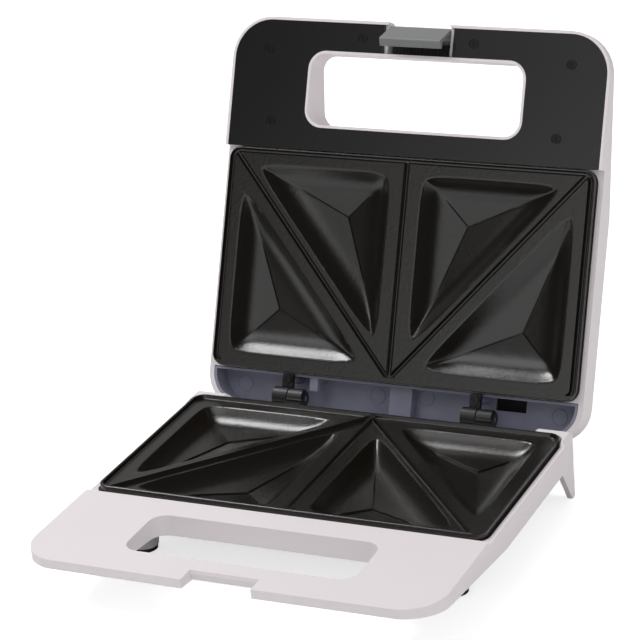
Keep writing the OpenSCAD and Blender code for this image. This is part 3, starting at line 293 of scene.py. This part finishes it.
dress = {
    "base_casing": white, "base_bottom": grey, "base_screws": steel, "rubber_feet": rubber,
    "lower_plate": nonstick, "lower_element": sheath, "lower_reflector": sheet,
    "lower_plate_screws": steel, "thermostat": phenolic, "terminal_block": ceramic,
    "cord_inlet": black, "hinge_brackets": black, "bracket_screws": steel, "hinge_pins": steel,
    "lid_casing": white, "lid_panel": panel_black, "panel_screws_set": dark_steel,
    "hinge_bay_liner": bay, "lid_hinge_leaves": black, "leaf_screws": dark_steel,
    "upper_plate": nonstick, "upper_element": sheath, "upper_reflector": sheet,
    "upper_plate_screws": steel, "thermal_fuse": ceramic, "power_lamp_lens": red_lens,
    "ready_lamp_lens": green_lens, "latch": latch_grey, "latch_pin": steel,
}
for name, material in dress.items():
    nodes[name].data.materials.clear()
    nodes[name].data.materials.append(material)


# ---------------------------------------------------------------- meshes
def new_piece(name, points, faces, body, material, node=None):
    """A mesh from arrays of metre points and faces, smooth but for its sharp edges; it rides on a
    body and may stand for a node."""
    me = bpy.data.meshes.new(name)
    faces = np.asarray(faces)
    me.vertices.add(len(points))
    me.vertices.foreach_set("co", np.asarray(points, np.float32).ravel())
    n = faces.shape[1]
    me.loops.add(faces.size)
    me.loops.foreach_set("vertex_index", faces.astype(np.int32).ravel())
    me.polygons.add(len(faces))
    me.polygons.foreach_set("loop_start", np.arange(0, faces.size, n, dtype=np.int32))
    me.update(calc_edges=True)
    me.validate()
    me.shade_smooth()
    me.set_sharp_from_angle(angle=math.radians(SHARP_DEG))
    me.materials.append(material)
    o = bpy.data.objects.new(name, me)
    bpy.context.scene.collection.objects.link(o)
    if node:
        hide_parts(node)
    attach(o, body)
    return o


def eased(node, body, width, angle=32.0):
    """A copy of a CAD node with its doubles merged, its flat faces joined up and the edges over an
    angle eased by a small round; its normals are weighted by area, so that flat faces look flat."""
    bm = bmesh.new()
    bm.from_mesh(nodes[node].data)
    bmesh.ops.remove_doubles(bm, verts=bm.verts, dist=MERGE_DIST)
    bmesh.ops.dissolve_limit(bm, angle_limit=math.radians(FLAT_DEG), verts=bm.verts,
                             edges=bm.edges)
    limit = math.radians(angle)
    sharp = [e for e in bm.edges if len(e.link_faces) == 2 and e.calc_face_angle(0) > limit]
    bmesh.ops.bevel(bm, geom=sharp, offset=width * MM, segments=EASE_STEPS, profile=0.5,
                    affect="EDGES", clamp_overlap=True)
    me = bpy.data.meshes.new(node + "_eased")
    bm.to_mesh(me)
    bm.free()
    me.shade_smooth()
    me.set_sharp_from_angle(angle=math.radians(SHARP_DEG))
    me.materials.append(dress[node])
    o = bpy.data.objects.new(node + "_eased", me)
    bpy.context.scene.collection.objects.link(o)
    flat = o.modifiers.new("flat faces", "WEIGHTED_NORMAL")
    flat.keep_sharp = True
    flat.weight = 100
    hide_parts(node)
    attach(o, body)


def cells_of(k):
    """The four corner indices of every cell of an index grid: first corner, next along the row,
    opposite corner, next down the column."""
    return tuple(q.ravel() for q in (k[:-1, :-1], k[:-1, 1:], k[1:, 1:], k[1:, :-1]))


def ring_of(rows, cols):
    """Indices round the border of a rows by cols grid: along the first row, down the last column,
    back along the last row and up the first column."""
    k = np.arange(rows * cols).reshape(rows, cols)
    return np.concatenate([k[0, :-1], k[:-1, -1], k[-1, :0:-1], k[:0:-1, 0]])


def join_rings(before, after):
    """Triangles of the band between two rings of as many points."""
    following = np.roll(after, -1)
    return [np.stack([before, after, following], 1),
            np.stack([before, following, np.roll(before, -1)], 1)]


# ---------------------------------------------------------------- cooking plates
def pocket_corners(x, y, c):
    """Right-angled pocket: its right angle at (x, y), its long side on the line DIV_N . p = c."""
    return np.array([[x, y], [(c - DIV_N[1] * y) / DIV_N[0], y],
                     [x, (c - DIV_N[0] * x) / DIV_N[1]]])


OUTER = pocket_corners(101.0, 117.7, DIV_C + 8.0)
INNER = pocket_corners(10.0, 8.5, DIV_C - 4.7)


def middle_of(tri):
    """Centre and radius of a triangle's inscribed circle."""
    side = np.array([np.hypot(*(tri[(i + 1) % 3] - tri[(i + 2) % 3])) for i in range(3)])
    a, b = tri[1] - tri[0], tri[2] - tri[0]
    return side @ tri / side.sum(), abs(a[0] * b[1] - a[1] * b[0]) / side.sum()


def inside_by(tri, x, y):
    """How far inside a triangle a point lies: the least of its three distances from the sides,
    softened so that the corners are round at the rim and sharpen towards the middle; negative
    outside. Softening: minus k times the logarithm of the sum of exp(-distance / k)."""
    c, r = middle_of(tri)
    ds = []
    for i in range(3):
        a, b = tri[i], tri[(i + 1) % 3]
        n = np.array([-(b - a)[1], (b - a)[0]]) / np.hypot(*(b - a))
        n = n if n @ (c - a) > 0 else -n
        ds.append((x - a[0]) * n[0] + (y - a[1]) * n[1])
    d = np.stack(ds)
    low = d.min(0)
    k = np.interp(low, SOFT_AT + [r], SOFT)
    return low - k * np.log(np.exp(-(d - low) / k).sum(0))


def into_pocket(x, y):
    """How far inside the nearer of the two pockets of the right half a point lies."""
    return np.maximum(inside_by(OUTER, x, y), inside_by(INNER, x, y))


def pocket_depth(x, y):
    """Depth of the pockets at a point: a wall of 43 degrees at the rim whose slope dies away as a
    bell curve into a floor that still falls one in ten, with the rim itself eased over half a
    millimetre."""
    t = into_pocket(x, y)
    return np.where(t > 0, RIM_DROP + np.interp(t, FAR, FALL) * FALL_SHARE,
                    np.clip(1 + t / RIM_EASE, 0, 1) * RIM_DROP)


def onto_rims(x, y):
    """Moves grid points that lie close to a pocket's rim onto it, down the slope of the distance,
    so that the rim runs along the mesh's own edges. The slope is taken over a small step."""
    def far(u, v):
        return into_pocket(np.abs(u), v)
    t, step, least = far(x, y), 0.02, 0.2
    gx = (far(x + step, y) - far(x - step, y)) / (2 * step)
    gy = (far(x, y + step) - far(x, y - step)) / (2 * step)
    g = np.maximum(gx ** 2 + gy ** 2, least)
    near = np.abs(t) < RIM_SNAP
    return x - np.where(near, t * gx / g, 0), y - np.where(near, t * gy / g, 0)


def inset_of(x, y, y0, y1):
    """Distance of a point inside the plate's rounded outline."""
    qx = np.abs(x) - (PLATE_X - PLATE_R)
    qy = np.abs(y - (y0 + y1) / 2) - ((y1 - y0) / 2 - PLATE_R)
    beyond = np.hypot(np.maximum(qx, 0), np.maximum(qy, 0))
    return PLATE_R - beyond - np.minimum(np.maximum(qx, qy), 0)


def bump_of(s, half, soft):
    """1 within half of a line, falling smoothly to 0 over soft."""
    t = np.clip((np.abs(s) - half + soft / 2) / soft, 0, 1)
    return 1 - t * t * (3 - 2 * t)


def trough_of(s, half):
    """1 on a line, falling to 0 at half on either side as half an ellipse."""
    return np.sqrt(np.clip(1 - (s / half) ** 2, 0, 1))


def plate_height(x, y, upper):
    """Height of a plate's cooking face above its flats: pockets down, and either raised ridges
    along the edge, the middle line and the two slanting lines, or grooves in the same places."""
    ax = np.abs(x)
    y0, y1 = UPPER_Y if upper else LOWER_Y
    edge = inset_of(x, y, y0, y1)
    slant = DIV_N[0] * ax + DIV_N[1] * y - DIV_C
    z = -pocket_depth(ax, y)
    if upper:
        line = np.maximum(trough_of(ax, GROOVE_HALF), trough_of(slant, GROOVE_HALF))
        line = line * (edge > LINE_IN) * (y < y1 - LINE_SHORT)
        round_edge = trough_of(edge - EDGE_GROOVE_IN, EDGE_GROOVE_HALF) * (y < y1 - EDGE_SHORT)
        return z - GROOVE * np.maximum(line, round_edge)
    line = np.maximum(bump_of(ax, RIDGE_HALF, RIDGE_SOFT), bump_of(slant, RIDGE_HALF, RIDGE_SOFT))
    return z + RIDGE * np.maximum(line, bump_of(np.maximum(edge, 0), EDGE_RIDGE, RIDGE_SOFT))


def round_corners(x, y, y0, y1):
    """Bends a rectangular grid into the rounded outline: in each corner square a point moves along
    its ray so that the square's two outer sides fall on the quarter circle."""
    cx, cy, yc = PLATE_X - PLATE_R, (y1 - y0) / 2 - PLATE_R, (y0 + y1) / 2
    s, t = (np.abs(x) - cx) / PLATE_R, (np.abs(y - yc) - cy) / PLATE_R
    inside = (s > 0) & (t > 0)
    s, t = np.where(inside, s, 1), np.where(inside, t, 1)
    k = np.maximum(s, t) / np.hypot(s, t)
    return (np.where(inside, np.sign(x) * (cx + s * k * PLATE_R), x),
            np.where(inside, yc + np.sign(y - yc) * (cy + t * k * PLATE_R), y))


def face_grid(upper):
    """Points of a cooking face, in rows along x: cells whose diagonals run along the slanting line,
    and a band of even, finer cells along each of the plate's edges."""
    y0, y1 = UPPER_Y if upper else LOWER_Y
    dx = CELL_Y * -(DIV_1 - DIV_0)[0] / (DIV_1 - DIV_0)[1]
    half = np.concatenate([np.arange(0, PLATE_X - SIDE_BAND - BAND_GAP, dx),
                           np.linspace(PLATE_X - SIDE_BAND, PLATE_X, BAND_CELLS)])
    line = DIV_0[1] + CELL_Y * np.arange(-9, 190)
    line = line[(line > y0 + FRONT_BAND) & (line < y1 - REAR_BAND - BAND_GAP)]
    ys = np.concatenate([np.linspace(y0, y0 + FRONT_BAND, BAND_CELLS)[:-1], line,
                         np.linspace(y1 - REAR_BAND, y1, BAND_CELLS)])
    x, y = np.meshgrid(np.concatenate([-half[:0:-1], half]), ys)
    x, y = onto_rims(*round_corners(x, y, y0, y1))
    z = plate_height(x, y, upper)
    z -= EDGE_DROP * np.clip(1 - inset_of(x, y, y0, y1) / EDGE_DROP_W, 0, 1) ** 2
    return np.stack([x, y, z], -1)


def rib_grid(centre, corner, sign, upper):
    """Points of one rib: a low rounded bar on the crease that runs from a pocket's centre towards
    a corner, half an ellipse across, falling away over the last fifth; sign is the plate's half."""
    u, w = np.linspace(0, 1, 13), np.linspace(0, math.pi, 7)
    run = (corner - centre) * RIB_REACH
    step = run / np.hypot(*run)
    px, py = centre[0] + run[0] * u, centre[1] + run[1] * u
    base = plate_height(px, py, upper)[:, None] - RIB_SUNK
    tall = RIB_H * np.minimum(1, (1 - u) * RIB_END)
    across = RIB_HALF * np.cos(w)
    return np.stack([(px[:, None] - step[1] * across) * sign, py[:, None] + step[0] * across,
                     base + (RIB_SUNK + tall[:, None]) * np.sin(w)], -1)


def cooking_plate(name, upper, place, node, body):
    """A cast plate: a grid of heights whose cells lie along the slanting lines, its skirt as rings
    that carry the grid's border down and in, an underside below the pockets, and thin ribs laid
    along the creases of each pocket."""
    y0, y1 = UPPER_Y if upper else LOWER_Y
    face = face_grid(upper)
    rows, cols = face.shape[:2]
    parts = [face.reshape(-1, 3)]
    a, b, c, d = cells_of(np.arange(rows * cols).reshape(rows, cols))
    left = (face[:-1, :-1, 0] < -1e-6).ravel()[:, None]
    faces = [np.where(left, np.stack([a, b, c], 1), np.stack([a, b, d], 1)),
             np.where(left, np.stack([a, c, d], 1), np.stack([b, c, d], 1))]
    border = ring_of(rows, cols)
    rim = parts[0][border]
    mid = np.array([0, (y0 + y1) / 2])
    # outward direction of each border point, level
    side = np.abs(rim[:, :2] - mid) - (PLATE_X - PLATE_R, (y1 - y0) / 2 - PLATE_R)
    side = np.clip(side / PLATE_R, 0, 1)
    length = np.maximum(np.hypot(side[:, 0], side[:, 1]), 1e-9)[:, None]
    outward = np.sign(rim[:, :2] - mid) * side / length
    foot = UPPER_FOOT if upper else LOWER_FOOT
    count, before = rows * cols, border
    steps = [(0.0, rim[:, 2].max() - SKIRT_TOP)] + [(inward, foot + up) for inward, up in SKIRT]
    for inward, height in steps:
        q = rim.copy()
        q[:, :2] -= inward * outward
        q[:, 2] = height
        ring = count + np.arange(len(border))
        faces += join_rings(before, ring)
        parts.append(q)
        count += len(border)
        before = ring
    # underside: a last ring below the pockets and a fan to the middle
    q = rim.copy()
    q[:, :2] = mid + (q[:, :2] - mid) * UNDER_SHARE
    q[:, 2] = UNDER_Z
    ring = count + np.arange(len(border))
    faces += join_rings(before, ring)
    parts += [q, np.array([[0, mid[1], UNDER_Z]])]
    count += len(border)
    faces.append(np.stack([ring, np.full(len(ring), count), np.roll(ring, -1)], 1))
    count += 1
    for tri in (OUTER, INNER):
        centre = middle_of(tri)[0]
        for corner in tri:
            for sign in (1, -1):
                g = rib_grid(centre, corner, sign, upper)
                a, b, c, d = cells_of(count + np.arange(g[..., 0].size).reshape(g.shape[:2]))
                quad = [np.stack([a, d, c], 1), np.stack([a, c, b], 1)]
                faces += quad if sign > 0 else [q[:, ::-1] for q in quad]
                parts.append(g.reshape(-1, 3))
                count += g[..., 0].size
    pts, tris = np.concatenate(parts), np.concatenate(faces)
    if upper:
        pts, tris = pts * (1, 1, -1) + (0, 0, UPPER_LIFT), tris[:, ::-1]
    else:
        pts = pts + (0, 0, -RIDGE)
    new_piece(name, place(pts), tris, body, dress[node], node)


eased("base_casing", "base", 0.7)
eased("lid_casing", "lid", 0.6, angle=38)
eased("latch", "latch", 0.3)
eased("base_bottom", "base", 0.4)
eased("hinge_brackets", "base", 0.3)
eased("lid_hinge_leaves", "lid", 0.3)
eased("hinge_bay_liner", "lid", 0.25)

cooking_plate("lower_cooking_plate", False, base_mm, "lower_plate", "base")
cooking_plate("upper_cooking_plate", True, lid_mm, "upper_plate", "lid")


# ---------------------------------------------------------------- small pieces of the lid
def ejector_rings():
    """Raised rings left by the mould's ejector pins: a small circle carried round a large one, at
    four places of the hinge bay."""
    around, across = 48, 8
    a, b = np.meshgrid(np.linspace(0, 2 * math.pi, around + 1)[:-1],
                       np.linspace(0, 2 * math.pi, across + 1)[:-1], indexing="ij")
    r = RING_R + RING_TUBE * np.cos(b)
    ring = np.stack([r * np.cos(a), r * np.sin(a), RING_Z - RING_TUBE * np.sin(b)], -1)
    ring = ring.reshape(-1, 3)
    k = np.arange(around * across).reshape(around, across)
    q = np.stack([k, np.roll(k, -1, 1), np.roll(np.roll(k, -1, 0), -1, 1), np.roll(k, -1, 0)], -1)
    q = q.reshape(-1, 4)
    pts = np.concatenate([ring + (x, y, 0) for x, y in RING_SPOTS])
    quads = np.concatenate([q + i * len(ring) for i in range(len(RING_SPOTS))])
    o = new_piece("ejector_rings", lid_mm(pts), quads, "lid", bay)


def painted_shade_dish():
    """A black sheet of painted shade in the opening beside the right hinge, where the hollow lies
    in
    shade: a shallow dish, its depth one parabola times another, deepest in the middle."""
    rows, cols = 13, 7
    u, v = np.meshgrid(np.linspace(-1, 1, rows), np.linspace(-1, 1, cols), indexing="ij")
    x, y = SHADE_DISH_AT[0] + SHADE_DISH_HALF[0] * u, SHADE_DISH_AT[1] + SHADE_DISH_HALF[1] * v
    z = SHADE_DISH_AT[2] + SHADE_DISH_DEPTH * (1 - u ** 2) * (1 - v ** 2)
    pts = np.concatenate([np.stack([x, y, h], -1).reshape(-1, 3) for h in (z, z + SHADE_DISH_T)])
    n = rows * cols
    a, b, c, d = cells_of(np.arange(n).reshape(rows, cols))
    ring = ring_of(rows, cols)
    nxt = np.roll(ring, -1)
    quads = np.concatenate([np.stack([a, b, c, d], 1), np.stack([a, d, c, b], 1) + n,
                            np.stack([ring, ring + n, nxt + n, nxt], 1)])
    # painted shade: this black sheet stands for the shade in the opening beside the right hinge
    o = new_piece("painted_shade_dish", lid_mm(pts), quads, "lid", rubber)


def latch_recess_liner():
    """A black strip across the bottom of the lid's latch recess, with fine ribs that run front to
    back: the square of a raised cosine along x."""
    x = np.linspace(-STRIP_X, STRIP_X, 177)
    wave = 0.5 + 0.5 * np.cos(x * 2 * math.pi / STRIP_PITCH)
    low, high = STRIP_Z[0] - STRIP_RIB * wave ** 2, np.full(len(x), STRIP_Z[1])
    front, back = STRIP_Y
    rows = [np.stack([x, np.full(len(x), y), z], 1)
            for y, z in ((front, low), (back, low), (back, high), (front, high))]
    n = len(x)
    a = np.arange(n - 1)
    quads = []
    for i in range(4):
        j = (i + 1) % 4
        quads += np.stack([a + i * n, a + j * n, a + 1 + j * n, a + 1 + i * n], 1).tolist()
    quads += [[3 * n, 2 * n, n, 0], [n - 1, 2 * n - 1, 3 * n - 1, 4 * n - 1]]
    o = new_piece("latch_recess_liner", lid_mm(np.concatenate(rows)), quads, "lid", black)


ejector_rings()
painted_shade_dish()
latch_recess_liner()


# ---------------------------------------------------------------- floor and light
def lay_floor():
    """A pale floor just under the feet that turns up into a backdrop far behind, as one curved
    sheet: flat, then a quarter circle, then upright. It glows a little to the camera alone."""
    flat, upright, cols = 12, 8, 9
    turn = np.linspace(0, 1, 40) * math.pi / 2
    run = np.concatenate([np.linspace(-FLOOR_Y, FLOOR_Y, flat),
                          FLOOR_Y + FLOOR_BEND * np.sin(turn),
                          np.full(upright, FLOOR_Y + FLOOR_BEND)])
    rise = np.concatenate([np.zeros(flat), FLOOR_BEND - FLOOR_BEND * np.cos(turn),
                           np.linspace(FLOOR_BEND + 0.1, FLOOR_TOP, upright)])
    x, y = np.meshgrid(np.linspace(-FLOOR_X, FLOOR_X, cols), run)
    z = np.repeat((rise - FLOOR_DROP)[:, None], cols, 1)
    a, b, c, d = cells_of(np.arange(x.size).reshape(x.shape))
    me = bpy.data.meshes.new("floor")
    me.from_pydata(np.stack([x, y, z], -1).reshape(-1, 3).tolist(), [],
                   np.stack([a, b, c, d], 1).tolist())
    me.shade_smooth()
    o = bpy.data.objects.new("floor", me)
    bpy.context.scene.collection.objects.link(o)
    m = bpy.data.materials.new("pale floor")
    m.use_nodes = True
    t = m.node_tree
    pr = t.nodes["Principled BSDF"]
    pr.inputs["Base Color"].default_value = (0.86, 0.86, 0.86, 1)
    pr.inputs["Roughness"].default_value = 0.9
    pr.inputs["Specular IOR Level"].default_value = 0.1
    path = t.nodes.new("ShaderNodeLightPath")
    glow = t.nodes.new("ShaderNodeEmission")
    t.links.new(math_node(t, "MULTIPLY", path.outputs["Is Camera Ray"], FLOOR_GLOW),
                glow.inputs["Strength"])
    add = t.nodes.new("ShaderNodeAddShader")
    t.links.new(pr.outputs[0], add.inputs[0])
    t.links.new(glow.outputs[0], add.inputs[1])
    t.links.new(add.outputs[0], t.nodes["Material Output"].inputs["Surface"])
    me.materials.append(m)


def area_light(name, place, size, power):
    """A square soft light at a place in metres, facing LAMP_AIM."""
    d = bpy.data.lights.new(name, "AREA")
    d.shape = "SQUARE"
    d.size = size
    d.energy = power
    z = np.array(place, float) - np.array(LAMP_AIM, float)
    z /= np.linalg.norm(z)
    x = np.cross((0, 0, 1), z)
    x /= np.linalg.norm(x)
    return placed(name, d, x, np.cross(z, x), z, place)


def light_scene():
    """A white world and three soft lights. Camera and transmission rays see full white; mirrored
    rays see white in a round zone in front, by the cosine of the angle from its middle, and almost
    black elsewhere; all others see an even half-light."""
    w = bpy.data.worlds.new("studio")
    bpy.context.scene.world = w
    w.use_nodes = True
    t = w.node_tree
    b = t.nodes["Background"]
    b.inputs["Color"].default_value = (1, 1, 1, 1)
    path = t.nodes.new("ShaderNodeLightPath")
    seen = math_node(t, "MAXIMUM", path.outputs["Is Camera Ray"],
                     path.outputs["Is Transmission Ray"])
    way = t.nodes.new("ShaderNodeTexCoord")
    dot = t.nodes.new("ShaderNodeVectorMath")
    dot.operation = "DOT_PRODUCT"
    dot.inputs[1].default_value = MIRROR_WAY
    t.links.new(way.outputs["Generated"], dot.inputs[0])
    glow = t.nodes.new("ShaderNodeMapRange")
    glow.interpolation_type = "SMOOTHSTEP"
    for label, v in zip(("From Min", "From Max", "To Min", "To Max"), MIRROR_EDGE + MIRROR_GLOW):
        glow.inputs[label].default_value = v
    t.links.new(dot.outputs["Value"], glow.inputs["Value"])
    glossy = path.outputs["Is Glossy Ray"]
    mirrored = math_node(t, "MULTIPLY", glow.outputs["Result"], glossy)
    plain = math_node(t, "MULTIPLY", math_node(t, "SUBTRACT", 1.0, glossy), AMBIENT)
    rest = math_node(t, "ADD", mirrored, plain)
    t.links.new(math_node(t, "MAXIMUM", seen, rest), b.inputs["Strength"])
    area_light("top softbox", (-0.96, 0.3, 1.62), 0.64, 15.5)
    area_light("front softbox", (-0.5, -0.95, 1.6), 1.0, 6)
    fill = area_light("side fill", (1.6, -0.4, 0.7), 1.0, 4.5)
    fill.visible_glossy = False


place_camera()
lay_floor()
light_scene()
bpy.context.scene.view_settings.view_transform = "Standard"
